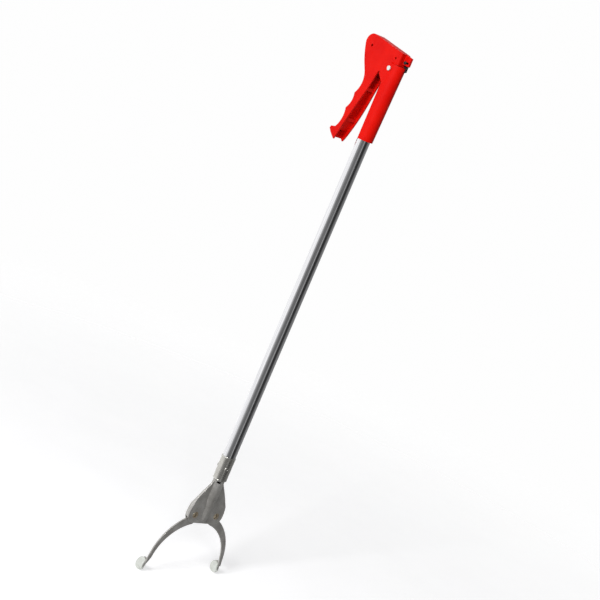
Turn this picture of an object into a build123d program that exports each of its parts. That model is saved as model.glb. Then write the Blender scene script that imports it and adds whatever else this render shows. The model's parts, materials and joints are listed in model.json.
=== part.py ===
from build123d import *
from math import asin, atan2, cos, degrees, radians, sin, tan
import os

# Reacher grabber. Squeezing the lever lifts a rod inside the tube, and the rod's crosshead turns two jaws.
#
# Millimetres, +Z up along the tube. X = Y = 0 is the tube's axis and Z = 0 is the lowest point of the open
# jaws. The lever is on the -X side and the jaws swing in the YZ plane. Everything is drawn at rest, with the
# lever released and the jaws open.

os.makedirs("parts", exist_ok=True)

# Motion
JAW_SWING = 38.5  # degrees each jaw turns from open to closed
LEVER_SWING = 16.0  # degrees the lever turns from released to squeezed
CRANK = 6.5  # jaw pivot to crosshead pin, measured across the tube
ROD_TRAVEL = 2 * CRANK * tan(radians(JAW_SWING / 2))
RUNNING_GAP = 0.05  # radial clearance of a shaft that turns or slides
LOOSE_GAP = 0.1  # clearance beside parts that only pass each other

# Tube
TUBE_RADIUS = 9.5
TUBE_BORE = 8.5
TUBE_BOTTOM = 155.0
TUBE_TOP = 742.0

# Head: two stamped plates, riveted, with a ring over the tube's end
SHEET = 1.2
PLATE_GAP = 2.4  # middle plane to a plate's inner face, beside the jaws
PIVOT_Y = 20.0
PIVOT_Z = 95.0
LOBE_RADIUS = 12.5
CREASE_Z = 111.0  # the lobes are flat below it
STEP_Z = 117.0  # the flanks step in between the crease and here, then slope in to the neck
STEP_GAP = 1.0
FLANK_TOP = 150.0
HEAD_SHOULDER = 154.0
NECK_TOP = 184.0
NECK_RADIUS = 8.45
CHANNEL_MID_RADIUS = 8.2
CHANNEL_MID_Z = 118.0
CHANNEL_LOW_RADIUS = 7.3
CHANNEL_LOW_Z = 97.0
CHANNEL_TIP_Z = 86.0
COLLAR_BOTTOM = 152.5
COLLAR_TOP = 188.0
COLLAR_BORE = 9.55
COLLAR_RADIUS = 10.2
COLLAR_BEAD = 0.5
COLLAR_RIVET_Z = 171.0
COLLAR_RIVET = 1.6
COLLAR_RIVET_HEAD = 3.1
COLLAR_RIVET_BORE = 0.7
COLLAR_RIVET_TURN = -23.0  # degrees round the tube from the plates' middle
DRAIN_HOLE_Z = 149.0
DRAIN_HOLE_TURN = -36.0
DRAIN_HOLE = (3.3, 3.2)  # between the slot's end centres, and its height
RIM_BOTTOM = 91.0  # above it the two plates' edges are turned in until they meet
WASHER_RADIUS = 4.0
RIVET_HEAD = 5.0
RIVET_RISE = 2.4

# Jaws
JAW_SHEET = 2.0
HUB_RADIUS = 11.0
JAW_SHANK = 2.5
TAB_TILT = 11.0  # degrees the open tab leans outward
TIP_Y = 73.3  # the tab's middle plane at Z = 0
PAD_LENGTH = 19.6  # the pad is an ellipse, leaning back in the tab's plane
PAD_WIDTH = 16.6
PAD_LEAN = 25.0
PAD_BACK = 7.4  # the pad's centre behind the jaw's middle plane
PAD_INNER = 2.4  # rubber on the gripping side of the tab
PAD_OUTER = 1.1
PAD_BORDER = 1.6
ROOT_TOP = 20.6  # the strip between the fold and the pad, measured up the tab from its lowest point
ROOT_BOTTOM = 14.6
CLOSED_GAP = 0.6  # between the two pads when the jaws are closed

# Rod and what it carries
ROD_RADIUS = 2.0
ROD_BOTTOM = 101.0
ROD_TOP = 756.5
CROSS_PIN = 1.25
CROSS_SHEET = 1.15
BLOCK_BOTTOM = 89.0
BLOCK_TOP = 110.0
CHEEK_TOP = 98.0
BOSS_RADIUS = 3.6
BLOCK_HALF_Y = 5.0
SPRING_BOTTOM = 206.0
SPRING_TOP = 262.0
SPRING_RADIUS = 5.2
SPRING_WIRE = 0.55
SPRING_COILS = 15
SEAT_LENGTH = 8.0
GUIDE_BOTTOM = 728.0
GUIDE_FLANGE = 2.0
NUT_FLATS = 7.0
NUT_HEIGHT = 3.2
BRACKET_BASE = 749.4
BRACKET_SHEET = 2.0
ARM_INNER_Y = 3.5
ARM_OUTER_Y = 5.9
ARM_NEAR_X = 5.8
ARM_FAR_X = 10.5
ARM_ELBOW_Z = 771.5  # the arm's front edge steps forward here, to reach past the lever's front web
ARM_BAND_TOP = 776.0
BRACKET_PIN = 1.25
EYE_RADIUS = 2.9
PIN_HEAD = 2.3
PIN_HEAD_HEIGHT = 1.0
PIN_CLIP = 2.4
PIN_CLIP_SHEET = 0.8

# Handle
HANDLE_BOTTOM = 670.0
HANDLE_TOP = 779.0
HANDLE_BOTTOM_REACH = 12.5  # towards +X; the sleeve is an ellipse, growing deeper towards its top
HANDLE_TOP_REACH = 17.2
HANDLE_EDGE_X = -1.0
EAR_OUTER = 12.4
EAR_INNER = 9.4
BAY_RADIUS = 12.7
BAY_FLOOR = 744.0
BOSS_REACH = 4.6  # flat round the lever's pivot
NOTCH_BOTTOM = 770.5  # a notch in the front of the rim, where the bracket's arm comes out
SCREW_HEIGHTS = (692.0, 724.0)
SCREW_RADIUS = 1.45
SCREW_HEAD = 3.0
SCREW_HEAD_HEIGHT = 1.5
SCREW_TIP_Y = 6.0
PIVOT_HEAD = 3.3
PIVOT_HEAD_HEIGHT = 1.3
PIVOT_CLIP = 4.4
PIVOT_CLIP_SHEET = 1.0

# Lever
LEVER_PIVOT = (2.5, 772.0)
PIVOT_RADIUS = 2.5
LEVER_HALF_WIDTH = 9.0
LEVER_WALL = 2.5
LEVER_FRONT = 12.0
FRONT_CORNER = 3.0
LEVER_STEP_X = 8.7
LEVER_STEP_Z = 779.5
HUB_REACH = 6.2  # lever material around its pivot, inside the handle
HEEL = (-46.0, 654.0)
HEEL_CORNER = (-43.8, 658.8)
OPEN_EDGE_MIDDLE = (-29.8, 709.0)
ARMPIT = (-17.8, 762.5)
GRIP_TOP = 748.0
GRIP_SWELL = 2.6  # the grip is this much wider each side, half way down it
HANG_HOLE = (-47.5, 790.4)
HANG_HOLE_RADIUS = 2.0
SMALL_HOLE = (3.4, 787.2)
SMALL_HOLE_RADIUS = 1.6
NOSE_TIP_X = 23.0  # the nose is a tab on the lever's front that holds the cam slot
NOSE_BOTTOM = 783.0
NOSE_NEAR_Y = -0.5
NOSE_FAR_Y = 3.0
TOP_SLOPE = 0.155
TOP_CORNER = (-47.5, 806.0)
CAM_PIN = (15.3, 786.5)
CAM_SLOT_WIDTH = 2 * (BRACKET_PIN + 0.12)
RIB_HEIGHTS = (686.0, 734.0)
RIB_SHEET = 4.8


def top_line(x):
    """The height of the lever's top edge."""
    return TOP_CORNER[1] - TOP_SLOPE * (x - TOP_CORNER[0])


def lever_profile():
    """The lever's side view, from the heel up and round to the front end."""
    hub_back = (-6.0, LEVER_PIVOT[1] - HUB_REACH)
    with BuildSketch() as profile:
        with BuildLine():
            outer = Polyline(HEEL, (-54.5, 660.5), (-59.0, 665.5), (-57.5, 668.8), (-50.0, 670.5))
            groove_1 = ThreePointArc(outer @ 1, (-43.3, 686.0), (-45.0, 700.0))
            groove_2 = ThreePointArc(groove_1 @ 1, (-40.0, 712.5), (-42.0, 723.0))
            groove_3 = ThreePointArc(groove_2 @ 1, (-37.0, 739.0), (-42.0, 756.0))
            back = Line(groove_3 @ 1, groove_3 @ 1 + 8 * (groove_3 % 1))
            cheek = TangentArc(back @ 1, (-60.5, 791.0), tangent=back % 1)
            head = TangentArc(cheek @ 1, TOP_CORNER, tangent=cheek % 1)
            Polyline(
                head @ 1,
                (LEVER_FRONT, top_line(LEVER_FRONT)),
                (LEVER_FRONT, LEVER_STEP_Z),
                (LEVER_STEP_X, LEVER_STEP_Z),
                (LEVER_STEP_X, LEVER_PIVOT[1]),
            )
            hub = CenterArc(LEVER_PIVOT, HUB_REACH, 270, 90)
            Polyline(hub @ 0, hub_back, ARMPIT)
            ThreePointArc(ARMPIT, OPEN_EDGE_MIDDLE, HEEL_CORNER)
            Line(HEEL_CORNER, HEEL)
        make_face()
    return profile.sketch


def lever_width(inset):
    """The lever's outline seen along X, this far inside: straight at its head, fuller in the grip."""
    half = LEVER_HALF_WIDTH - inset
    with BuildSketch() as outline:
        with BuildLine():
            side = Polyline((0, 815), (half, 815), (half, GRIP_TOP))
            grip = Spline(
                side @ 1,
                (half + GRIP_SWELL, 702),
                (half + GRIP_SWELL / 4, 650),
                tangents=((0, -1), (-0.12, -1)),
            )
            Line(grip @ 1, (0, 650))
            mirror(about=Plane.YZ)
        make_face()
    return outline.sketch


def cam_point(share):
    """The bracket pin's place on the lever when the lever has turned by this share of its swing."""
    turn = radians(LEVER_SWING * share)
    reach = CAM_PIN[0] - LEVER_PIVOT[0]
    rise = CAM_PIN[1] - LEVER_PIVOT[1] + ROD_TRAVEL * share
    x = LEVER_PIVOT[0] + reach * cos(turn) + rise * sin(turn)
    z = LEVER_PIVOT[1] - reach * sin(turn) + rise * cos(turn)
    return (x, z)


def tab_plane(side):
    """The tab's middle plane: x runs up the tab from Z = 0 and z outward. side is -1 or 1."""
    lean = radians(TAB_TILT)
    up = (0, -side * sin(lean), cos(lean))
    return Plane(origin=(0, side * TIP_Y, 0), x_dir=up, z_dir=(0, side * cos(lean), sin(lean)))


def pad_outline(border, side):
    """The pad's ellipse, or the steel disc inside it, this far inside the pad's edge."""
    lean = radians(PAD_LEAN)
    half_length = PAD_LENGTH / 2
    half_width = PAD_WIDTH / 2
    rise = ((half_length * cos(lean)) ** 2 + (half_width * sin(lean)) ** 2) ** 0.5
    rise += (JAW_SHEET / 2 + PAD_INNER) * tan(radians(TAB_TILT))
    with BuildSketch() as outline:
        with Locations((rise, -side * PAD_BACK)):
            Ellipse(half_length - border, half_width - border, rotation=side * PAD_LEAN)
    return outline.sketch


def tab_outline(gap, side):
    """The steel tab, this much wider all round: a disc inside the pad and the strip from it to the fold."""
    with BuildSketch() as outline:
        add(pad_outline(PAD_BORDER - gap, side))
        with Locations(((ROOT_TOP + ROOT_BOTTOM) / 2, -side * PAD_BACK / 2)):
            Rectangle(ROOT_TOP - ROOT_BOTTOM + 2 * gap, PAD_BACK)
    return outline.sketch


def make_jaw(side):
    """One jaw: a flat stamped arm with a hub, and its tip bent back into a tab. side is -1 or 1."""
    hub = (side * PIVOT_Y, PIVOT_Z)
    pin_angle = radians(JAW_SWING / 2)
    slot_reach = CRANK * (1 + 1 / cos(pin_angle)) / 2
    slot_centre = (side * (PIVOT_Y - slot_reach * cos(pin_angle)), PIVOT_Z - slot_reach * sin(pin_angle))
    with BuildPart() as jaw:
        with BuildSketch(Plane.YZ):
            with BuildLine():
                outer = ThreePointArc((side * 29, 89), (side * 58.8, 61), (side * 70.6, 27))
                tip = Polyline(outer @ 1, (side * 72.2, 14.6), (side * 69.6, 14.2), (side * 65.4, 23))
                inner = ThreePointArc(tip @ 1, (side * 47.6, 60.6), (side * 16, 79.5))
                Polyline(inner @ 1, (side * 12, 88), outer @ 0)
            make_face()
            with Locations(hub):
                Circle(HUB_RADIUS)
                Circle(JAW_SHANK + RUNNING_GAP, mode=Mode.SUBTRACT)
            with Locations(Location(slot_centre, side * JAW_SWING / 2)):
                SlotCenterToCenter(0.8, 2 * (CROSS_PIN + LOOSE_GAP), mode=Mode.SUBTRACT)
        extrude(amount=JAW_SHEET / 2, both=True)
        with BuildSketch(tab_plane(side)):
            add(tab_outline(0, side))
        extrude(amount=JAW_SHEET / 2, both=True)
    return jaw.part


def make_pad(side):
    """The rubber cap on one tab, bevelled at its lower inner edge to meet the other pad when closed."""
    swing = radians(JAW_SWING)
    along = -(PIVOT_Y - CLOSED_GAP / 2)
    touch_y = along * cos(swing) + PIVOT_Z * sin(swing)
    touch_z = along * sin(swing) - PIVOT_Z * cos(swing)
    land = Plane(
        origin=(0, side * (PIVOT_Y + touch_y), PIVOT_Z + touch_z),
        x_dir=(1, 0, 0),
        z_dir=(0, side * cos(swing), sin(swing)),
    )
    middle = tab_plane(side)
    clear = LOOSE_GAP / 2
    with BuildPart() as pad:
        with BuildSketch(middle.offset(-JAW_SHEET / 2 - PAD_INNER)):
            add(pad_outline(0, side))
            with Locations((0, -side * (JAW_SHEET / 2 + LOOSE_GAP + PAD_LENGTH))):
                Rectangle(4 * PAD_LENGTH, 2 * PAD_LENGTH, mode=Mode.INTERSECT)
        extrude(amount=PAD_INNER + JAW_SHEET + PAD_OUTER)
        split(bisect_by=land, keep=Keep.TOP)
        with BuildSketch(middle):
            add(tab_outline(clear, side))
        extrude(amount=JAW_SHEET / 2 + clear, both=True, mode=Mode.SUBTRACT)
    return pad.part


def radial_plane(turn, z):
    """A plane through the tube's axis at this height, facing outward this many degrees round from +X."""
    outward = (cos(radians(turn)), sin(radians(turn)), 0)
    return Plane(origin=(0, 0, z), x_dir=(-outward[1], outward[0], 0), z_dir=outward)


def rivet_profile(grip, shank, head, rise):
    """Half of a rivet's section: along x, with a spherical dome at both ends, this grip each way."""
    ball = (head**2 + rise**2) / (2 * rise)
    reach = grip + rise
    bend = asin(head / ball) / 2
    shoulder = (reach - ball + ball * cos(bend), ball * sin(bend))
    with BuildSketch() as profile:
        with BuildLine():
            Line((-reach, 0), (reach, 0))
            ThreePointArc((reach, 0), shoulder, (grip, head))
            Polyline((grip, head), (grip, shank), (-grip, shank), (-grip, head))
            ThreePointArc((-grip, head), (-shoulder[0], shoulder[1]), (-reach, 0))
        make_face()
    return profile.sketch


def make_jaw_rivet(side):
    """The rivet that one jaw turns on, through both head plates."""
    centre = (0, side * PIVOT_Y, PIVOT_Z)
    with BuildPart() as rivet:
        with BuildSketch(Plane(origin=centre, x_dir=(1, 0, 0), z_dir=(0, -1, 0))):
            add(rivet_profile(PLATE_GAP + SHEET, JAW_SHANK, RIVET_HEAD, RIVET_RISE))
        revolve(axis=Axis(centre, (1, 0, 0)))
    return rivet.part


# ---------------------------------------------------------------------------------------------- tube

with BuildPart() as main_tube:
    with BuildSketch(Plane.XY.offset(TUBE_BOTTOM)):
        Circle(TUBE_RADIUS)
        Circle(TUBE_BORE, mode=Mode.SUBTRACT)
    extrude(amount=TUBE_TOP - TUBE_BOTTOM)
    for turn in (COLLAR_RIVET_TURN, 180 - COLLAR_RIVET_TURN):
        with BuildSketch(radial_plane(turn, COLLAR_RIVET_Z)):
            Circle(COLLAR_RIVET + RUNNING_GAP)
        extrude(amount=2 * TUBE_RADIUS, mode=Mode.SUBTRACT)
    with BuildSketch(Plane.XZ):
        with Locations(*[(0, z) for z in SCREW_HEIGHTS]):
            Circle(SCREW_RADIUS + RUNNING_GAP)
    extrude(amount=-2 * TUBE_RADIUS, mode=Mode.SUBTRACT)
main_tube.part.label = "main_tube"
export_step(main_tube.part, "parts/main_tube.step")

# ---------------------------------------------------------------------------------------------- head

# the space in front of the front plate's inner face: a step apart at the lobes, meeting at the neck
with BuildPart() as front_space:
    with BuildSketch(Plane.XZ):
        with BuildLine():
            Polyline(
                (RUNNING_GAP, NECK_TOP + 1),
                (RUNNING_GAP, FLANK_TOP),
                (STEP_GAP, STEP_Z),
                (PLATE_GAP, CREASE_Z),
                (PLATE_GAP, 70),
                (30, 70),
                (30, NECK_TOP + 1),
                close=True,
            )
        make_face()
    extrude(amount=50, both=True)


def channel_profile(inset):
    """Half of the channel's section: the neck, and its taper to a round tip."""
    tip = PLATE_GAP + SHEET - inset
    with BuildSketch() as profile:
        with BuildLine():
            neck = Polyline((0, NECK_TOP), (NECK_RADIUS - inset, NECK_TOP), (NECK_RADIUS - inset, FLANK_TOP))
            taper = Spline(
                neck @ 1,
                (CHANNEL_MID_RADIUS - inset, CHANNEL_MID_Z),
                (CHANNEL_LOW_RADIUS - inset, CHANNEL_LOW_Z + inset / 3),
                (tip, CHANNEL_TIP_Z + inset),
                tangents=((0, -1), (-1, -0.6)),
            )
            Polyline(taper @ 1, (0, CHANNEL_TIP_Z + inset), (0, NECK_TOP))
        make_face()
    return profile.sketch


with BuildPart() as channel_outside:
    with BuildSketch(Plane.XZ):
        add(channel_profile(0))
    revolve(axis=Axis.Z)
    add(front_space.part, mode=Mode.INTERSECT)


def plate_outline(border):
    """A head plate's flat outline, this far inside its edge."""
    shoulder = (NECK_RADIUS - 0.2 - border, HEAD_SHOULDER)
    widest = (PIVOT_Y + LOBE_RADIUS - border, PIVOT_Z)
    with BuildSketch() as outline:
        with BuildLine():
            Line((0, HEAD_SHOULDER), shoulder)
            Spline(
                shoulder,
                (16.5 - border, 136),
                (27.2 - border, 118.5),
                widest,
                tangents=((0.1, -1), (0, -1)),
            )
            lobe = RadiusArc(widest, (PIVOT_Y, PIVOT_Z - LOBE_RADIUS + border), LOBE_RADIUS - border)
            Line(lobe @ 1, (0, PIVOT_Z - LOBE_RADIUS + border))
            mirror(about=Plane.YZ)
        make_face()
    return outline.sketch


with BuildPart() as front_head_plate:
    with BuildSketch(Plane.YZ):
        add(plate_outline(0))
    extrude(amount=10)
    add(front_space.part, mode=Mode.INTERSECT)
    # the rim along the flanks, turned in to meet the other plate
    with BuildSketch(Plane.YZ.offset(RUNNING_GAP)):
        add(plate_outline(0))
        add(plate_outline(SHEET), mode=Mode.SUBTRACT)
        with Locations((0, RIM_BOTTOM)):
            Rectangle(100, HEAD_SHOULDER - RIM_BOTTOM, align=(Align.CENTER, Align.MIN), mode=Mode.INTERSECT)
    extrude(amount=10)
    # everything thicker than one sheet goes
    with BuildSketch(Plane.XZ):
        with BuildLine():
            Polyline(
                (RUNNING_GAP + SHEET, NECK_TOP + 1),
                (RUNNING_GAP + SHEET, FLANK_TOP),
                (STEP_GAP + SHEET, STEP_Z),
                (PLATE_GAP + SHEET, CREASE_Z),
                (PLATE_GAP + SHEET, 70),
                (30, 70),
                (30, NECK_TOP + 1),
                close=True,
            )
        make_face()
    extrude(amount=50, both=True, mode=Mode.SUBTRACT)
    add(channel_outside.part)
    with BuildSketch(Plane.XZ):
        add(channel_profile(SHEET))
    revolve(axis=Axis.Z, mode=Mode.SUBTRACT)
    with BuildSketch(Plane.YZ):
        with Locations((PIVOT_Y, PIVOT_Z), (-PIVOT_Y, PIVOT_Z)):
            Circle(JAW_SHANK + RUNNING_GAP)
    extrude(amount=12, mode=Mode.SUBTRACT)
    with BuildSketch(radial_plane(COLLAR_RIVET_TURN, COLLAR_RIVET_Z)):
        Circle(COLLAR_RIVET + RUNNING_GAP)
    extrude(amount=12, mode=Mode.SUBTRACT)
    with BuildSketch(radial_plane(DRAIN_HOLE_TURN, DRAIN_HOLE_Z)):
        SlotCenterToCenter(*DRAIN_HOLE)
    extrude(amount=12, mode=Mode.SUBTRACT)
front_head_plate.part.label = "front_head_plate"
export_step(front_head_plate.part, "parts/front_head_plate.step")

with BuildPart() as rear_head_plate:
    mirror(front_head_plate.part, about=Plane.YZ)
rear_head_plate.part.label = "rear_head_plate"
export_step(rear_head_plate.part, "parts/rear_head_plate.step")

with BuildPart() as head_collar:
    with BuildSketch(Plane.XZ):
        with BuildLine():
            Polyline(
                (COLLAR_BORE, COLLAR_BOTTOM),
                (COLLAR_RADIUS, COLLAR_BOTTOM),
                (COLLAR_RADIUS, COLLAR_TOP),
                (COLLAR_BORE, COLLAR_TOP),
                close=True,
            )
        make_face()
        for bead_z in (COLLAR_BOTTOM + COLLAR_BEAD, COLLAR_TOP - COLLAR_BEAD):
            with Locations((COLLAR_RADIUS - 0.2, bead_z)):
                Circle(COLLAR_BEAD)
    revolve(axis=Axis.Z)
    for turn in (COLLAR_RIVET_TURN, 180 - COLLAR_RIVET_TURN):
        with BuildSketch(radial_plane(turn, COLLAR_RIVET_Z)):
            Circle(COLLAR_RIVET + RUNNING_GAP)
        extrude(amount=2 * TUBE_RADIUS, mode=Mode.SUBTRACT)
head_collar.part.label = "head_collar"
export_step(head_collar.part, "parts/head_collar.step")

# blind rivets, front and rear: a ring-shaped head outside, a flare inside the neck
with BuildPart() as collar_rivets:
    rivet_plane = radial_plane(COLLAR_RIVET_TURN, COLLAR_RIVET_Z)
    flare_start = NECK_RADIUS - SHEET - 1.7
    flare_end = NECK_RADIUS - SHEET - 0.5
    crown = COLLAR_RADIUS + 1.1
    with BuildSketch(Plane(origin=rivet_plane.origin, x_dir=rivet_plane.z_dir, z_dir=rivet_plane.x_dir)):
        with BuildLine():
            Polyline(
                (crown - 0.6, COLLAR_RIVET_BORE),
                (flare_start, COLLAR_RIVET_BORE),
                (flare_start, 2.2),
                (flare_end, 2.2),
                (flare_end, COLLAR_RIVET),
                (COLLAR_RADIUS, COLLAR_RIVET),
                (COLLAR_RADIUS, COLLAR_RIVET_HEAD),
            )
            ThreePointArc((COLLAR_RADIUS, COLLAR_RIVET_HEAD), (crown - 0.15, 2.3), (crown, 1.3))
            Line((crown, 1.3), (crown - 0.6, COLLAR_RIVET_BORE))
        make_face()
    revolve(axis=Axis(rivet_plane.origin, rivet_plane.z_dir))
    mirror(about=Plane.YZ)
collar_rivets.part.label = "collar_rivets"
export_step(collar_rivets.part, "parts/collar_rivets.step")

left_jaw_rivet = make_jaw_rivet(-1)
left_jaw_rivet.label = "left_jaw_rivet"
export_step(left_jaw_rivet, "parts/left_jaw_rivet.step")

right_jaw_rivet = make_jaw_rivet(1)
right_jaw_rivet.label = "right_jaw_rivet"
export_step(right_jaw_rivet, "parts/right_jaw_rivet.step")

# four spacers, one each side of each jaw
with BuildPart() as jaw_washers:
    inner_face = JAW_SHEET / 2 + RUNNING_GAP
    with BuildSketch(Plane.YZ.offset(inner_face)):
        with Locations((PIVOT_Y, PIVOT_Z), (-PIVOT_Y, PIVOT_Z)):
            Circle(WASHER_RADIUS)
            Circle(JAW_SHANK + RUNNING_GAP, mode=Mode.SUBTRACT)
    extrude(amount=PLATE_GAP - RUNNING_GAP - inner_face)
    mirror(about=Plane.YZ)
jaw_washers.part.label = "jaw_washers"
export_step(jaw_washers.part, "parts/jaw_washers.step")

# ---------------------------------------------------------------------------------------------- jaws

left_jaw = make_jaw(-1)
left_jaw.label = "left_jaw"
export_step(left_jaw, "parts/left_jaw.step")

right_jaw = make_jaw(1)
right_jaw.label = "right_jaw"
export_step(right_jaw, "parts/right_jaw.step")

left_pad = make_pad(-1)
left_pad.label = "left_pad"
export_step(left_pad, "parts/left_pad.step")

right_pad = make_pad(1)
right_pad.label = "right_pad"
export_step(right_pad, "parts/right_pad.step")

# ---------------------------------------------------------------------------------------------- rod

with BuildPart() as pull_rod:
    with BuildSketch(Plane.XY.offset(ROD_BOTTOM)):
        Circle(ROD_RADIUS)
    extrude(amount=ROD_TOP - ROD_BOTTOM)
    chamfer(pull_rod.edges().filter_by(GeomType.CIRCLE), length=0.4)
pull_rod.part.label = "pull_rod"
export_step(pull_rod.part, "parts/pull_rod.step")

cross_pin_z = PIVOT_Z - ROD_TRAVEL / 2
cross_pin_y = PIVOT_Y - CRANK
plate_outer = PLATE_GAP - LOOSE_GAP
plate_inner = plate_outer - CROSS_SHEET

with BuildPart() as crosshead_block:
    with BuildSketch(Plane.XY.offset(BLOCK_BOTTOM)):
        RectangleRounded(2 * plate_inner, 2 * BLOCK_HALF_Y, 0.4)
    extrude(amount=BLOCK_TOP - BLOCK_BOTTOM)
    with BuildSketch(Plane.XY.offset(ROD_BOTTOM - 2)):
        Circle(BOSS_RADIUS)
    extrude(amount=BLOCK_TOP - ROD_BOTTOM + 2)
    with BuildSketch(Plane.XY.offset(ROD_BOTTOM)):
        Circle(ROD_RADIUS)
    extrude(amount=BLOCK_TOP - ROD_BOTTOM, mode=Mode.SUBTRACT)
crosshead_block.part.label = "crosshead_block"
export_step(crosshead_block.part, "parts/crosshead_block.step")

# two cheek plates that carry the pins in front of and behind the jaws
with BuildPart() as crosshead_plates:
    with BuildSketch(Plane.YZ.offset(plate_inner)):
        with Locations((0, cross_pin_z)):
            SlotCenterToCenter(2 * cross_pin_y, 4.4)
        with Locations((0, BLOCK_BOTTOM)):
            Rectangle(2 * BLOCK_HALF_Y, CHEEK_TOP - BLOCK_BOTTOM, align=(Align.CENTER, Align.MIN))
        with Locations((cross_pin_y, cross_pin_z), (-cross_pin_y, cross_pin_z)):
            Circle(CROSS_PIN, mode=Mode.SUBTRACT)
    extrude(amount=CROSS_SHEET)
    mirror(about=Plane.YZ)
crosshead_plates.part.label = "crosshead_plates"
export_step(crosshead_plates.part, "parts/crosshead_plates.step")

with BuildPart() as crosshead_pins:
    with BuildSketch(Plane.YZ.offset(-plate_outer)):
        with Locations((cross_pin_y, cross_pin_z), (-cross_pin_y, cross_pin_z)):
            Circle(CROSS_PIN)
    extrude(amount=2 * plate_outer)
crosshead_pins.part.label = "crosshead_pins"
export_step(crosshead_pins.part, "parts/crosshead_pins.step")

# a flanged sleeve crimped on the rod, under the spring
with BuildPart() as spring_collar:
    with BuildSketch(Plane.XY.offset(SPRING_BOTTOM - 2)):
        Circle(TUBE_BORE - 0.5)
    extrude(amount=2)
    with BuildSketch(Plane.XY.offset(SPRING_BOTTOM - 8)):
        Circle(ROD_RADIUS + 1.4)
    extrude(amount=6)
    with BuildSketch(Plane.XY.offset(SPRING_BOTTOM - 8)):
        Circle(ROD_RADIUS)
    extrude(amount=8, mode=Mode.SUBTRACT)
spring_collar.part.label = "spring_collar"
export_step(spring_collar.part, "parts/spring_collar.step")

with BuildPart() as return_spring:
    spring_low = SPRING_BOTTOM + SPRING_WIRE + RUNNING_GAP
    spring_height = SPRING_TOP - SPRING_BOTTOM - 2 * (SPRING_WIRE + RUNNING_GAP)
    with BuildLine() as coil:
        Helix(
            pitch=spring_height / SPRING_COILS,
            height=spring_height,
            radius=SPRING_RADIUS,
            center=(0, 0, spring_low),
        )
    with BuildSketch(Plane(origin=coil.line @ 0, z_dir=coil.line % 0)):
        Circle(SPRING_WIRE)
    sweep()
return_spring.part.label = "return_spring"
export_step(return_spring.part, "parts/return_spring.step")

with BuildPart() as spring_seat:
    with BuildSketch(Plane.XY.offset(SPRING_TOP)):
        Circle(TUBE_BORE)
        Circle(ROD_RADIUS + LOOSE_GAP / 2, mode=Mode.SUBTRACT)
    extrude(amount=SEAT_LENGTH)
spring_seat.part.label = "spring_seat"
export_step(spring_seat.part, "parts/spring_seat.step")

with BuildPart() as upper_rod_guide:
    with BuildSketch(Plane.XY.offset(GUIDE_BOTTOM)):
        Circle(TUBE_BORE)
    extrude(amount=TUBE_TOP - GUIDE_BOTTOM)
    with BuildSketch(Plane.XY.offset(TUBE_TOP)):
        Circle(TUBE_RADIUS - 0.2)
    extrude(amount=GUIDE_FLANGE)
    with BuildSketch(Plane.XY.offset(GUIDE_BOTTOM)):
        Circle(ROD_RADIUS + LOOSE_GAP / 2)
    extrude(amount=TUBE_TOP + GUIDE_FLANGE - GUIDE_BOTTOM, mode=Mode.SUBTRACT)
upper_rod_guide.part.label = "upper_rod_guide"
export_step(upper_rod_guide.part, "parts/upper_rod_guide.step")

with BuildPart() as rod_nuts:
    for z in (BRACKET_BASE - NUT_HEIGHT, BRACKET_BASE + BRACKET_SHEET):
        with BuildSketch(Plane.XY.offset(z)):
            RegularPolygon(NUT_FLATS / 2, 6, major_radius=False)
            Circle(ROD_RADIUS, mode=Mode.SUBTRACT)
        extrude(amount=NUT_HEIGHT)
rod_nuts.part.label = "rod_nuts"
export_step(rod_nuts.part, "parts/rod_nuts.step")

# a bent steel strip: its foot is clamped on the rod, its arm passes behind the lever's pivot pin
with BuildPart() as rod_bracket:
    foot = (-4.6, -4.0)
    arm_tip = CAM_PIN[0] + EYE_RADIUS
    with BuildSketch(Plane.XY.offset(BRACKET_BASE)):
        with Locations(((foot[0] + ARM_FAR_X) / 2, (foot[1] + ARM_OUTER_Y) / 2)):
            RectangleRounded(ARM_FAR_X - foot[0], ARM_OUTER_Y - foot[1], 1.5)
        Circle(ROD_RADIUS, mode=Mode.SUBTRACT)
    extrude(amount=BRACKET_SHEET)
    with BuildSketch(Plane.XZ.offset(-ARM_OUTER_Y)):
        with BuildLine():
            Polyline(
                (ARM_NEAR_X, BRACKET_BASE),
                (ARM_FAR_X, BRACKET_BASE),
                (ARM_FAR_X, ARM_ELBOW_Z),
                (arm_tip, ARM_ELBOW_Z + 3.5),
                (arm_tip, CAM_PIN[1]),
                (CAM_PIN[0] - EYE_RADIUS, CAM_PIN[1]),
                (CAM_PIN[0] - EYE_RADIUS, ARM_BAND_TOP),
                (ARM_NEAR_X, ARM_BAND_TOP),
                close=True,
            )
        make_face()
        with Locations(CAM_PIN):
            Circle(EYE_RADIUS)
            Circle(BRACKET_PIN, mode=Mode.SUBTRACT)
    extrude(amount=ARM_OUTER_Y - ARM_INNER_Y)
rod_bracket.part.label = "rod_bracket"
export_step(rod_bracket.part, "parts/rod_bracket.step")

# through the arm's eye and the lever's nose, its head against the arm
clip_seat = NOSE_NEAR_Y - 0.25
pin_tip = clip_seat - PIN_CLIP_SHEET - 0.3
with BuildPart() as bracket_pin:
    with BuildSketch(Plane.XZ.offset(-ARM_OUTER_Y)):
        with Locations(CAM_PIN):
            Circle(BRACKET_PIN)
    extrude(amount=ARM_OUTER_Y - pin_tip)
    with BuildSketch(Plane.XZ.offset(-ARM_OUTER_Y)):
        with Locations(CAM_PIN):
            Circle(PIN_HEAD)
    extrude(amount=-PIN_HEAD_HEIGHT)
bracket_pin.part.label = "bracket_pin"
export_step(bracket_pin.part, "parts/bracket_pin.step")

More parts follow.
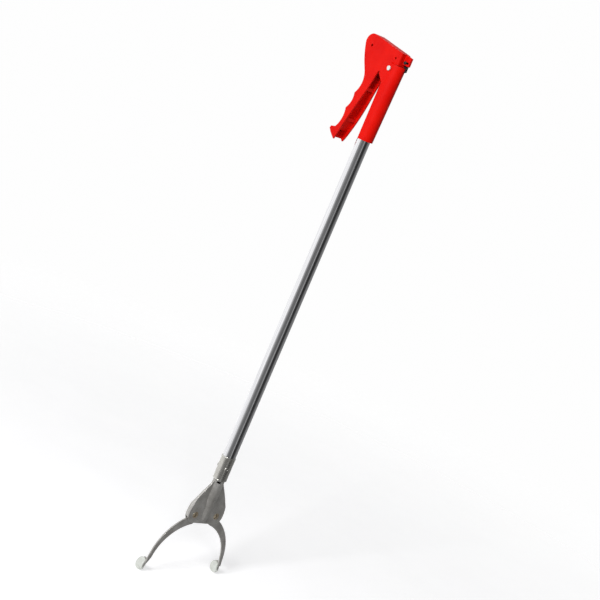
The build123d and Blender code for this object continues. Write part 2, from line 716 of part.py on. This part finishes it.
with BuildPart() as bracket_pin_clip:
    with BuildSketch(Plane.XZ.offset(-clip_seat)):
        with Locations(CAM_PIN):
            Circle(PIN_CLIP)
            Circle(BRACKET_PIN, mode=Mode.SUBTRACT)
    extrude(amount=PIN_CLIP_SHEET)
bracket_pin_clip.part.label = "bracket_pin_clip"
export_step(bracket_pin_clip.part, "parts/bracket_pin_clip.step")

# ---------------------------------------------------------------------------------------------- handle

with BuildPart() as handle_body:
    for z, reach in ((HANDLE_BOTTOM, HANDLE_BOTTOM_REACH), (HANDLE_TOP, HANDLE_TOP_REACH)):
        with BuildSketch(Plane.XY.offset(z)):
            Ellipse(reach, EAR_OUTER)
            with Locations((HANDLE_EDGE_X, 0)):
                Rectangle(60, 60, align=(Align.MIN, Align.CENTER), mode=Mode.INTERSECT)
    loft()
    # the ears, which reach back round the lever's pivot
    with BuildSketch(Plane.XZ):
        with BuildLine():
            FilletPolyline(
                (0, 750),
                (-11.5, 760.5),
                (-9.0, 776.5),
                (-3.5, 780.8),
                (2.5, 780.8),
                (2.5, 750),
                radius=1.2,
                close=True,
            )
        make_face()
        with Locations(LEVER_PIVOT):
            Circle(BOSS_REACH)
    extrude(amount=EAR_OUTER, both=True)
    # socket for the tube
    with BuildSketch(Plane.XY.offset(HANDLE_BOTTOM)):
        Circle(TUBE_RADIUS + RUNNING_GAP)
    extrude(amount=BAY_FLOOR - HANDLE_BOTTOM, mode=Mode.SUBTRACT)
    # bay for the lever, open at the top and towards -X
    with BuildSketch(Plane.XY.offset(BAY_FLOOR)):
        Circle(BAY_RADIUS)
        with Locations((-15, 0)):
            Rectangle(30, 2 * BAY_RADIUS)
        Rectangle(60, 2 * EAR_INNER, mode=Mode.INTERSECT)
    extrude(amount=50, mode=Mode.SUBTRACT)
    # notch for the bracket's arm
    with BuildSketch(Plane.XY.offset(NOTCH_BOTTOM)):
        with Locations((ARM_FAR_X - 2.5, (ARM_INNER_Y + ARM_OUTER_Y) / 2)):
            Rectangle(20, ARM_OUTER_Y - ARM_INNER_Y + 1.2, align=(Align.MIN, Align.CENTER))
    extrude(amount=20, mode=Mode.SUBTRACT)
    # pivot hole
    with BuildSketch(Plane.XZ):
        with Locations(LEVER_PIVOT):
            Circle(PIVOT_RADIUS)
    extrude(amount=20, both=True, mode=Mode.SUBTRACT)
    # screw holes with recesses for their heads, +Y side
    with BuildSketch(Plane.XZ):
        with Locations(*[(0, z) for z in SCREW_HEIGHTS]):
            Circle(SCREW_RADIUS + RUNNING_GAP)
    extrude(amount=-20, mode=Mode.SUBTRACT)
    with BuildSketch(Plane.XZ.offset(-(EAR_OUTER - SCREW_HEAD_HEIGHT))):
        with Locations(*[(0, z) for z in SCREW_HEIGHTS]):
            Circle(SCREW_HEAD + LOOSE_GAP)
    extrude(amount=-10, mode=Mode.SUBTRACT)
handle_body.part.label = "handle_body"
export_step(handle_body.part, "parts/handle_body.step")

with BuildPart() as handle_screws:
    head_seat = EAR_OUTER - SCREW_HEAD_HEIGHT
    with BuildSketch(Plane.XZ.offset(-head_seat)):
        with Locations(*[(0, z) for z in SCREW_HEIGHTS]):
            Circle(SCREW_RADIUS)
    extrude(amount=head_seat - SCREW_TIP_Y)
    with BuildSketch(Plane.XZ.offset(-head_seat)):
        with Locations(*[(0, z) for z in SCREW_HEIGHTS]):
            Circle(SCREW_HEAD)
    extrude(amount=-SCREW_HEAD_HEIGHT)
    with BuildSketch(Plane.XZ.offset(-EAR_OUTER)):
        with Locations(*[(0, z) for z in SCREW_HEIGHTS]):
            Rectangle(3.6, 0.8)
            Rectangle(0.8, 3.6)
    extrude(amount=0.9, mode=Mode.SUBTRACT)
handle_screws.part.label = "handle_screws"
export_step(handle_screws.part, "parts/handle_screws.step")

with BuildPart() as lever_pivot_pin:
    pin_end = EAR_OUTER + 2.2
    with BuildSketch(Plane.XZ.offset(-pin_end)):
        with Locations(LEVER_PIVOT):
            Circle(PIVOT_RADIUS)
    extrude(amount=pin_end + EAR_OUTER)
    with BuildSketch(Plane.XZ.offset(EAR_OUTER)):
        with Locations(LEVER_PIVOT):
            Circle(PIVOT_HEAD)
    extrude(amount=PIVOT_HEAD_HEIGHT)
    chamfer(lever_pivot_pin.faces().sort_by(Axis.Y)[0].edges(), length=0.4)
    chamfer(lever_pivot_pin.faces().sort_by(Axis.Y)[-1].edges(), length=0.4)
lever_pivot_pin.part.label = "lever_pivot_pin"
export_step(lever_pivot_pin.part, "parts/lever_pivot_pin.step")

with BuildPart() as pivot_clip:
    with BuildSketch(Plane.XZ.offset(-EAR_OUTER - PIVOT_CLIP_SHEET)):
        with Locations(LEVER_PIVOT):
            Circle(PIVOT_CLIP)
            Circle(PIVOT_RADIUS, mode=Mode.SUBTRACT)
    extrude(amount=PIVOT_CLIP_SHEET)
pivot_clip.part.label = "pivot_clip"
export_step(pivot_clip.part, "parts/pivot_clip.step")

# ---------------------------------------------------------------------------------------------- lever

cam_arc = ThreePointArc(cam_point(0), cam_point(0.5), cam_point(1))

# the inside of the lever, open towards the tube and over the pivot, with ribs left across it
with BuildPart() as lever_channel:
    with BuildSketch(Plane.XZ):
        add(lever_profile())
        offset(amount=-LEVER_WALL)
        with BuildLine():
            Polyline(
                (-52, 648),
                (-49.6, 655.5),
                (-21, 763.5),
                (-14, 778),
                (-8, LEVER_STEP_Z + 2 * LEVER_WALL),
                (LEVER_FRONT - LEVER_WALL, LEVER_STEP_Z + 2 * LEVER_WALL),
                (LEVER_FRONT - LEVER_WALL, 648),
                close=True,
            )
        make_face()
        for z in RIB_HEIGHTS:
            share = (z - HEEL[1]) / (ARMPIT[1] - HEEL[1])
            edge_x = HEEL[0] + share * (ARMPIT[0] - HEEL[0])
            slope = degrees(atan2(ARMPIT[0] - HEEL[0], ARMPIT[1] - HEEL[1]))
            with Locations(Location((edge_x, z), -slope)):
                Rectangle(16, RIB_SHEET, align=(Align.MAX, Align.CENTER), mode=Mode.SUBTRACT)
    extrude(amount=2 * LEVER_HALF_WIDTH, both=True)
    with BuildSketch(Plane.YZ):
        add(lever_width(LEVER_WALL))
    extrude(amount=100, both=True, mode=Mode.INTERSECT)

with BuildPart() as trigger_lever:
    with BuildSketch(Plane.XZ):
        add(lever_profile())
    extrude(amount=2 * LEVER_HALF_WIDTH, both=True)
    with BuildSketch(Plane.YZ):
        add(lever_width(0))
    extrude(amount=100, both=True, mode=Mode.INTERSECT)
    add(lever_channel.part, mode=Mode.SUBTRACT)
    front_corners = trigger_lever.edges().filter_by(Axis.Z).group_by(Axis.X)[-1]
    fillet((front_corners.sort_by(Axis.Y)[0], front_corners.sort_by(Axis.Y)[-1]), radius=FRONT_CORNER)
    # nose with the cam slot
    with BuildSketch(Plane.XZ.offset(-NOSE_FAR_Y)):
        with BuildLine():
            Polyline(
                (LEVER_FRONT - LEVER_WALL, NOSE_BOTTOM),
                (NOSE_TIP_X, NOSE_BOTTOM),
                (NOSE_TIP_X, top_line(NOSE_TIP_X)),
                (LEVER_FRONT - LEVER_WALL, top_line(LEVER_FRONT - LEVER_WALL)),
                close=True,
            )
        make_face()
        add(SlotArc(cam_arc, CAM_SLOT_WIDTH), mode=Mode.SUBTRACT)
    extrude(amount=NOSE_FAR_Y - NOSE_NEAR_Y)
    with BuildSketch(Plane.XZ):
        with Locations(LEVER_PIVOT):
            Circle(PIVOT_RADIUS + RUNNING_GAP)
        with Locations(HANG_HOLE):
            Circle(HANG_HOLE_RADIUS)
    extrude(amount=20, both=True, mode=Mode.SUBTRACT)
    with BuildSketch(Plane.XZ):
        with Locations(SMALL_HOLE):
            Circle(SMALL_HOLE_RADIUS)
    extrude(amount=20, mode=Mode.SUBTRACT)
trigger_lever.part.label = "trigger_lever"
export_step(trigger_lever.part, "parts/trigger_lever.step")
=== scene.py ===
import json
import math

import bmesh
import bpy
from mathutils import Matrix, Vector


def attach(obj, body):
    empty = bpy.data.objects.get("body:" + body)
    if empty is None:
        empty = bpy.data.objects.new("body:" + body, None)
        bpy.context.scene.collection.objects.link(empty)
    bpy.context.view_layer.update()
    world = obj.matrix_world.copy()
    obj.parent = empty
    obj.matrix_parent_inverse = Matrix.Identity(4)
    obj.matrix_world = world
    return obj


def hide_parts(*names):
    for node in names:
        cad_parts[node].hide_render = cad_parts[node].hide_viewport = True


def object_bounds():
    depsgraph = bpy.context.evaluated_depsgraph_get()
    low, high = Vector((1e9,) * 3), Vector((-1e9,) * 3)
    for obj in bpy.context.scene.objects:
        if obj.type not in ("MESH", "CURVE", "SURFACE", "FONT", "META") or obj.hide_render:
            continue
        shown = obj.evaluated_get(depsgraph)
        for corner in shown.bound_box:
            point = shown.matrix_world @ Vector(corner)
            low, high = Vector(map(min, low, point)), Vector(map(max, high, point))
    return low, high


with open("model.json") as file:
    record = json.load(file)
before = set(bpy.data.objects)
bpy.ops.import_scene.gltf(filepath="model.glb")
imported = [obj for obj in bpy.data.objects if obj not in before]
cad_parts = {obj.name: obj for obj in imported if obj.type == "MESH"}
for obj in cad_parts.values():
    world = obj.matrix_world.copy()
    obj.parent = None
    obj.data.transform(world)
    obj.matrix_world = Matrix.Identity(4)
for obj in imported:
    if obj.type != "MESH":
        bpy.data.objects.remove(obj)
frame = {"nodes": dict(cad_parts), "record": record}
cad_low, cad_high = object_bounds()
scene = bpy.context.scene
nodes = frame["nodes"]

MM = 0.001

# camera: angles in degrees, lens and sensor in millimetres, places in metres
CAMERA_AZIMUTH = 43.9
CAMERA_ELEVATION = 10.3
CAMERA_ROLL = 23.1  # the tool leans across the picture
CAMERA_LENS = 94.2
CAMERA_SENSOR = 36.0
CAMERA_DISTANCE = 2.171
AIM = Vector((0.0, 0.0078, 0.4324))  # the camera and the lamps look at this point of the tube

# lamps: places in metres from AIM along the camera's right, up and back
LAMPS = (
    dict(name="key", place=(-0.90, 0.9, 2.1), size=0.6, watts=42.0, shine=True),
    dict(name="front", place=(0.1, 0.5, 2.4), size=0.4, watts=13.0, shine=False),
    dict(name="top", place=(0.2, 2.2, 0.4), size=1.6, watts=5.0, shine=False),
)

# brightness of the studio round the tool, by angle from the camera, left negative, as a share of a half turn
STUDIO = (
    (-1.00, 1.15),
    (-0.32, 1.15),
    (-0.22, 0.40),
    (-0.08, 0.17),
    (0.08, 0.16),
    (0.155, 0.46),
    (0.22, 0.04),
    (0.38, 0.03),
    (0.52, 0.20),
    (1.00, 0.35),
)
STUDIO_TINT = Vector((1.0, 1.0, 1.01))
STUDIO_FILL = 0.27  # the studio's share as soft light, against its share in reflections
BACKDROP = 0.99

FLOOR_RADIUS = 3.0
FLOOR_DROP = 0.5 * MM  # below the tool's lowest point
FLOOR_FADE = (0.25, 1.6)  # the floor fades into the backdrop between these distances from the tool
FLOOR_GLOW = 0.45

PAD_VOXEL = 0.35 * MM
PAD_SMOOTHING = 6  # passes

# metals: roughness is low and high, bare is 1 with no oxide, grain stretches the noise along an axis below 1
DRAWN = (1, 1, 0.02)
METALS = {
    "head_steel": dict(dark=(0.31, 0.30, 0.28), light=(0.45, 0.44, 0.42), rough=(0.27, 0.38), bare=0.55),
    "collar_steel": dict(dark=(0.44, 0.43, 0.40), light=(0.56, 0.55, 0.51), rough=(0.22, 0.32), bare=0.9),
    "rivet_brass": dict(dark=(0.46, 0.36, 0.24), light=(0.78, 0.67, 0.50), rough=(0.14, 0.24), bare=0.9),
    "plated_steel": dict(dark=(0.66, 0.66, 0.64), light=(0.82, 0.82, 0.80), rough=(0.16, 0.28), bare=0.7),
    "rod_steel": dict(dark=(0.38, 0.38, 0.38), light=(0.50, 0.50, 0.50), rough=(0.22, 0.34), grain=DRAWN),
    "spring_steel": dict(dark=(0.20, 0.20, 0.21), light=(0.32, 0.32, 0.33), rough=(0.25, 0.40)),
}
EDGE_HIGHLIGHT_GAIN, EDGE_HIGHLIGHT_LIFT = 1.5, 0.1  # how much paler a metal's edges are than its light tone, as a painted highlight


# ------------------------------------------------------------------------------------------ node tools


class Graph:
    """A short way to build the nodes of a world or a material."""

    def __init__(self, owner):
        owner.use_nodes = True
        self.tree = owner.node_tree

    def add(self, kind, **values):
        node = self.tree.nodes.new(kind)
        for key, value in values.items():
            setattr(node, key, value)
        return node

    def join(self, output, target):
        self.tree.links.new(output, target)

    def spread(self, value, low, high, start=0.35, end=0.65):
        """value from start..end is spread to low..high."""
        node = self.add("ShaderNodeMapRange")
        node.inputs["From Min"].default_value = start
        node.inputs["From Max"].default_value = end
        node.inputs["To Min"].default_value = low
        node.inputs["To Max"].default_value = high
        self.join(value, node.inputs["Value"])
        return node.outputs["Result"]

    def blend_shaders(self, share, first, second):
        """A shader between first and second."""
        node = self.add("ShaderNodeMixShader")
        for output, target in zip((share, first, second), node.inputs):
            self.join(output, target)
        return node.outputs[0]


class Finish(Graph):
    """The nodes of one material round its Principled BSDF."""

    def __init__(self, name):
        self.material = bpy.data.materials.new(name)
        super().__init__(self.material)
        self.shader = self.tree.nodes["Principled BSDF"]
        self.place = self.add("ShaderNodeTexCoord").outputs["Object"]

    def noise(self, scale, stretch=(1, 1, 1), detail=4.0, rough=0.55):
        """Noise in the object's own space. scale is in features per metre."""
        mapping = self.add("ShaderNodeMapping")
        mapping.inputs["Scale"].default_value = stretch
        self.join(self.place, mapping.inputs["Vector"])
        noise = self.add("ShaderNodeTexNoise")
        noise.inputs["Scale"].default_value = scale
        noise.inputs["Detail"].default_value = detail
        noise.inputs["Roughness"].default_value = rough
        self.join(mapping.outputs["Vector"], noise.inputs["Vector"])
        return noise.outputs["Fac"]

    def mix(self, share, first, second):
        """A colour between first and second; each is a colour or an output."""
        node = self.add("ShaderNodeMix", data_type="RGBA")
        self.join(share, node.inputs["Factor"])
        for slot, colour in (("A", first), ("B", second)):
            socket = [s for s in node.inputs if s.name == slot and s.type == "RGBA"][0]
            self.feed(socket, colour)
        return [s for s in node.outputs if s.type == "RGBA"][0]

    def cloudy(self, noise, dark, light):
        """A tone that drifts between dark and light with the noise."""
        return self.mix(self.spread(noise, 0.0, 1.0), dark, light)

    def bump(self, height, depth, under=None):
        """A bump of this depth in metres, on top of another normal if one is given."""
        node = self.add("ShaderNodeBump")
        node.inputs["Distance"].default_value = depth
        self.join(height, node.inputs["Height"])
        if under is not None:
            self.join(under, node.inputs["Normal"])
        return node.outputs["Normal"]

    def rounded(self, radius):
        """The surface normal, with edges rounded by this radius in metres."""
        node = self.add("ShaderNodeBevel", samples=4)
        node.inputs["Radius"].default_value = radius
        return node.outputs["Normal"]

    def edge_mask(self, radius):
        """1 along sharp edges, 0 on flats."""
        round_normal = self.rounded(radius)
        flat_normal = self.add("ShaderNodeNewGeometry").outputs["Normal"]
        dot = self.add("ShaderNodeVectorMath", operation="DOT_PRODUCT")
        self.join(round_normal, dot.inputs[0])
        self.join(flat_normal, dot.inputs[1])
        return self.spread(dot.outputs["Value"], 1.0, 0.0, start=0.85, end=0.995)

    def feed(self, socket, value):
        """Gives a socket a number, a colour or another node's output."""
        if isinstance(value, (int, float)):
            socket.default_value = value
        elif isinstance(value, (tuple, list)):
            socket.default_value = (*value, 1.0)
        else:
            self.join(value, socket)

    def set(self, name, value):
        self.feed(self.shader.inputs[name], value)


# ------------------------------------------------------------------------------------------ materials


def metal(name, dark, light, rough, bare=1.0, grain=(1, 1, 1)):
    """A metal: cloudy tone, a grain that can be stretched, and edges painted paler as a highlight."""
    g = Finish(name)
    tone = g.cloudy(g.noise(60.0, detail=6.0), dark, light)
    grain_noise = g.noise(900.0, stretch=grain, detail=3.0)
    # painted highlight: edges paler than the light tone
    edge_highlight = tuple(min(1.0, level * EDGE_HIGHLIGHT_GAIN + EDGE_HIGHLIGHT_LIFT) for level in light)
    g.set("Base Color", g.mix(g.edge_mask(0.6 * MM), tone, edge_highlight))
    g.set("Metallic", bare)
    g.set("Roughness", g.spread(grain_noise, *rough))
    g.set("Normal", g.bump(grain_noise, 0.01 * MM, under=g.rounded(0.3 * MM)))
    return g.material


def tube_metal():
    """Polished tube: long fine drawing lines, faint handling marks."""
    g = Finish("tube_metal")
    lines = g.noise(700.0, stretch=(1, 1, 0.012), detail=5.0)
    marks = g.noise(90.0, stretch=(1, 1, 0.25), detail=8.0, rough=0.7)
    g.set("Base Color", g.cloudy(lines, (0.62, 0.62, 0.63), (0.82, 0.82, 0.83)))
    g.set("Metallic", 1.0)
    g.set("Roughness", g.spread(marks, 0.13, 0.22))
    g.set("Normal", g.bump(lines, 0.008 * MM, under=g.bump(marks, 0.01 * MM)))
    return g.material


def red_plastic():
    """Moulded plastic: even red, a very fine skin, edges a little paler as a painted highlight."""
    g = Finish("red_plastic")
    tone = g.cloudy(g.noise(35.0, detail=3.0), (0.66, 0.003, 0.001), (0.74, 0.006, 0.002))
    # painted highlight: edges paler red
    g.set("Base Color", g.mix(g.edge_mask(0.9 * MM), tone, (0.86, 0.014, 0.008)))
    g.set("Roughness", g.spread(g.noise(300.0), 0.38, 0.50))
    g.set("Specular IOR Level", 0.14)
    g.set("Normal", g.bump(g.noise(2600.0, detail=2.0), 0.02 * MM, under=g.rounded(0.7 * MM)))
    return g.material


def pale_plastic():
    """Plain guide plastic: off-white, slightly mottled."""
    g = Finish("guide_plastic")
    g.set("Base Color", g.cloudy(g.noise(120.0), (0.66, 0.64, 0.58), (0.76, 0.74, 0.69)))
    g.set("Roughness", 0.5)
    g.set("Normal", g.bump(g.noise(1500.0), 0.02 * MM, under=g.rounded(0.3 * MM)))
    return g.material


def black_paint():
    """Blackened steel: satin, with edges paler grey."""
    g = Finish("black_steel")
    g.set("Base Color", g.mix(g.edge_mask(0.5 * MM), (0.012, 0.012, 0.013), (0.06, 0.06, 0.06)))
    g.set("Roughness", g.spread(g.noise(500.0), 0.35, 0.55))
    g.set("Normal", g.bump(g.noise(900.0), 0.03 * MM, under=g.rounded(0.4 * MM)))
    return g.material


def pad_rubber():
    """Moulded grey rubber: matt, finely pebbled, a little dusty."""
    g = Finish("pad_rubber")
    dust = g.noise(160.0, detail=6.0)
    g.set("Base Color", g.cloudy(dust, (0.52, 0.54, 0.50), (0.64, 0.66, 0.62)))
    g.set("Roughness", g.spread(dust, 0.55, 0.75))
    g.set("Normal", g.bump(g.noise(2200.0, detail=2.0), 0.05 * MM))
    return g.material


def floor_paint():
    """Pale matt paint that turns clear with distance from the tool."""
    g = Finish("pale_floor")
    g.set("Base Color", g.cloudy(g.noise(8.0, detail=3.0), (0.80, 0.80, 0.81), (0.83, 0.83, 0.84)))
    g.set("Roughness", 0.8)
    g.set("Specular IOR Level", 0.1)
    g.set("Emission Color", (1.0, 1.0, 1.0))
    g.set("Emission Strength", FLOOR_GLOW)
    distance = g.add("ShaderNodeVectorMath", operation="LENGTH")
    g.join(g.place, distance.inputs[0])
    fade_start, fade_end = FLOOR_FADE
    fade = g.spread(distance.outputs["Value"], 0.0, 1.0, start=fade_start, end=fade_end)
    clear = g.add("ShaderNodeBsdfTransparent")
    surface = g.blend_shaders(fade, g.shader.outputs[0], clear.outputs[0])
    g.join(surface, g.tree.nodes["Material Output"].inputs["Surface"])
    return g.material


MATERIALS = {
    "tube_metal": tube_metal(),
    "red_plastic": red_plastic(),
    "guide_plastic": pale_plastic(),
    "black_steel": black_paint(),
    "pad_rubber": pad_rubber(),
}
MATERIALS.update({name: metal(name, **look) for name, look in METALS.items()})


def finish_nodes():
    """Gives each CAD node the material of its slot in the record."""
    for part in frame["record"]["subparts"]:
        mesh = nodes[part["node"]].data
        mesh.materials.clear()
        mesh.materials.append(MATERIALS[part["material_slot"]])


# ------------------------------------------------------------------------------------------ rubber pads


def make_pad(side):
    """A moulded rubber cap in the place of its plain CAD solid: the same solid with soft edges."""
    node = f"{side}_pad"
    pad = bpy.data.objects.new(f"{side}_rubber_pad", nodes[node].data.copy())
    scene.collection.objects.link(pad)
    remesh = pad.modifiers.new("even", "REMESH")
    remesh.mode = "VOXEL"
    remesh.voxel_size = PAD_VOXEL
    smooth = pad.modifiers.new("soft", "CORRECTIVE_SMOOTH")
    smooth.smooth_type = "SIMPLE"
    smooth.factor = 0.5
    smooth.iterations = PAD_SMOOTHING
    smooth.use_only_smooth = True
    graph = bpy.context.evaluated_depsgraph_get()
    mesh = bpy.data.meshes.new_from_object(pad.evaluated_get(graph))
    pad.modifiers.clear()
    pad.data = mesh
    mesh.shade_smooth()
    mesh.materials.clear()
    mesh.materials.append(MATERIALS["pad_rubber"])
    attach(pad, f"{side}_jaw_arm")
    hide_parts(node)


# ------------------------------------------------------------------------------------------ stage


def make_floor():
    """A pale round floor just under the jaws that fades into the backdrop."""
    mesh = bpy.data.meshes.new("floor")
    shape = bmesh.new()
    bmesh.ops.create_circle(shape, cap_ends=True, segments=96, radius=FLOOR_RADIUS)
    shape.to_mesh(mesh)
    shape.free()
    mesh.materials.append(floor_paint())
    floor = bpy.data.objects.new("floor", mesh)
    floor.location.z = cad_low.z - FLOOR_DROP
    floor.visible_glossy = False
    scene.collection.objects.link(floor)


def studio_colour(g):
    """The studio's colour by compass direction, from the STUDIO levels."""
    direction = g.add("ShaderNodeTexCoord")
    turn = g.add("ShaderNodeVectorRotate", rotation_type="Z_AXIS")
    turn.inputs["Angle"].default_value = -math.radians(CAMERA_AZIMUTH)
    g.join(direction.outputs["Generated"], turn.inputs["Vector"])
    split = g.add("ShaderNodeSeparateXYZ")
    g.join(turn.outputs["Vector"], split.inputs[0])
    flip = g.add("ShaderNodeMath", operation="MULTIPLY")
    flip.inputs[1].default_value = -1.0
    g.join(split.outputs["Y"], flip.inputs[0])
    angle = g.add("ShaderNodeMath", operation="ARCTAN2")
    g.join(split.outputs["X"], angle.inputs[0])
    g.join(flip.outputs[0], angle.inputs[1])
    ramp = g.add("ShaderNodeValToRGB")
    ramp.color_ramp.interpolation = "EASE"
    while len(ramp.color_ramp.elements) < len(STUDIO):
        ramp.color_ramp.elements.new(0.5)
    for element, (half_turns, level) in zip(ramp.color_ramp.elements, STUDIO):
        element.position = (half_turns + 1) / 2
        element.color = (*(STUDIO_TINT * level), 1.0)
    g.join(g.spread(angle.outputs[0], 0.0, 1.0, start=-math.pi, end=math.pi), ramp.inputs["Fac"])
    return ramp.outputs["Color"]


def make_world():
    """White behind the tool; reflections and soft light come from a studio, light left and dark right."""
    world = bpy.data.worlds.new("studio")
    scene.world = world
    g = Graph(world)
    g.tree.nodes.clear()
    ray = g.add("ShaderNodeLightPath")
    strength = g.spread(ray.outputs["Is Diffuse Ray"], 1.0, STUDIO_FILL, start=0.0, end=1.0)
    around = g.add("ShaderNodeBackground")
    g.join(strength, around.inputs["Strength"])
    g.join(studio_colour(g), around.inputs["Color"])
    behind = g.add("ShaderNodeBackground")
    behind.inputs["Color"].default_value = (BACKDROP, BACKDROP, BACKDROP, 1.0)
    output = g.add("ShaderNodeOutputWorld")
    surface = g.blend_shaders(ray.outputs["Is Camera Ray"], around.outputs[0], behind.outputs[0])
    g.join(surface, output.inputs["Surface"])


def camera_facing():
    """The camera's right, up and back as the columns of a matrix, before its roll."""
    azimuth, elevation = math.radians(CAMERA_AZIMUTH), math.radians(CAMERA_ELEVATION)
    level = math.cos(elevation)
    back = Vector((math.sin(azimuth) * level, -math.cos(azimuth) * level, math.sin(elevation)))
    right = Vector((math.cos(azimuth), math.sin(azimuth), 0.0))
    return Matrix((right, back.cross(right), back)).transposed()


def add_light(name, place, size, watts, shine):
    """A soft square lamp aimed at AIM. shine lets it show in reflections."""
    data = bpy.data.lights.new(name, "AREA")
    data.size = size
    data.energy = watts
    lamp = bpy.data.objects.new(name, data)
    lamp.location = AIM + camera_facing() @ Vector(place)
    lamp.rotation_mode = "QUATERNION"
    lamp.rotation_quaternion = (AIM - lamp.location).to_track_quat("-Z", "Y")
    lamp.visible_glossy = shine
    scene.collection.objects.link(lamp)


def make_camera():
    """The camera that looks at AIM, rolled about its own line of sight."""
    data = bpy.data.cameras.new("camera")
    data.lens = CAMERA_LENS
    data.sensor_width = CAMERA_SENSOR
    camera = bpy.data.objects.new("camera", data)
    camera.rotation_mode = "QUATERNION"
    roll = Matrix.Rotation(math.radians(CAMERA_ROLL), 3, "Z")
    camera.rotation_quaternion = (camera_facing() @ roll).to_quaternion()
    camera.location = AIM + camera_facing() @ Vector((0.0, 0.0, CAMERA_DISTANCE))
    scene.collection.objects.link(camera)
    scene.camera = camera


finish_nodes()
for side in ("left", "right"):
    make_pad(side)
make_floor()
make_world()
for lamp in LAMPS:
    add_light(**lamp)
make_camera()
scene.view_settings.view_transform = "Standard"
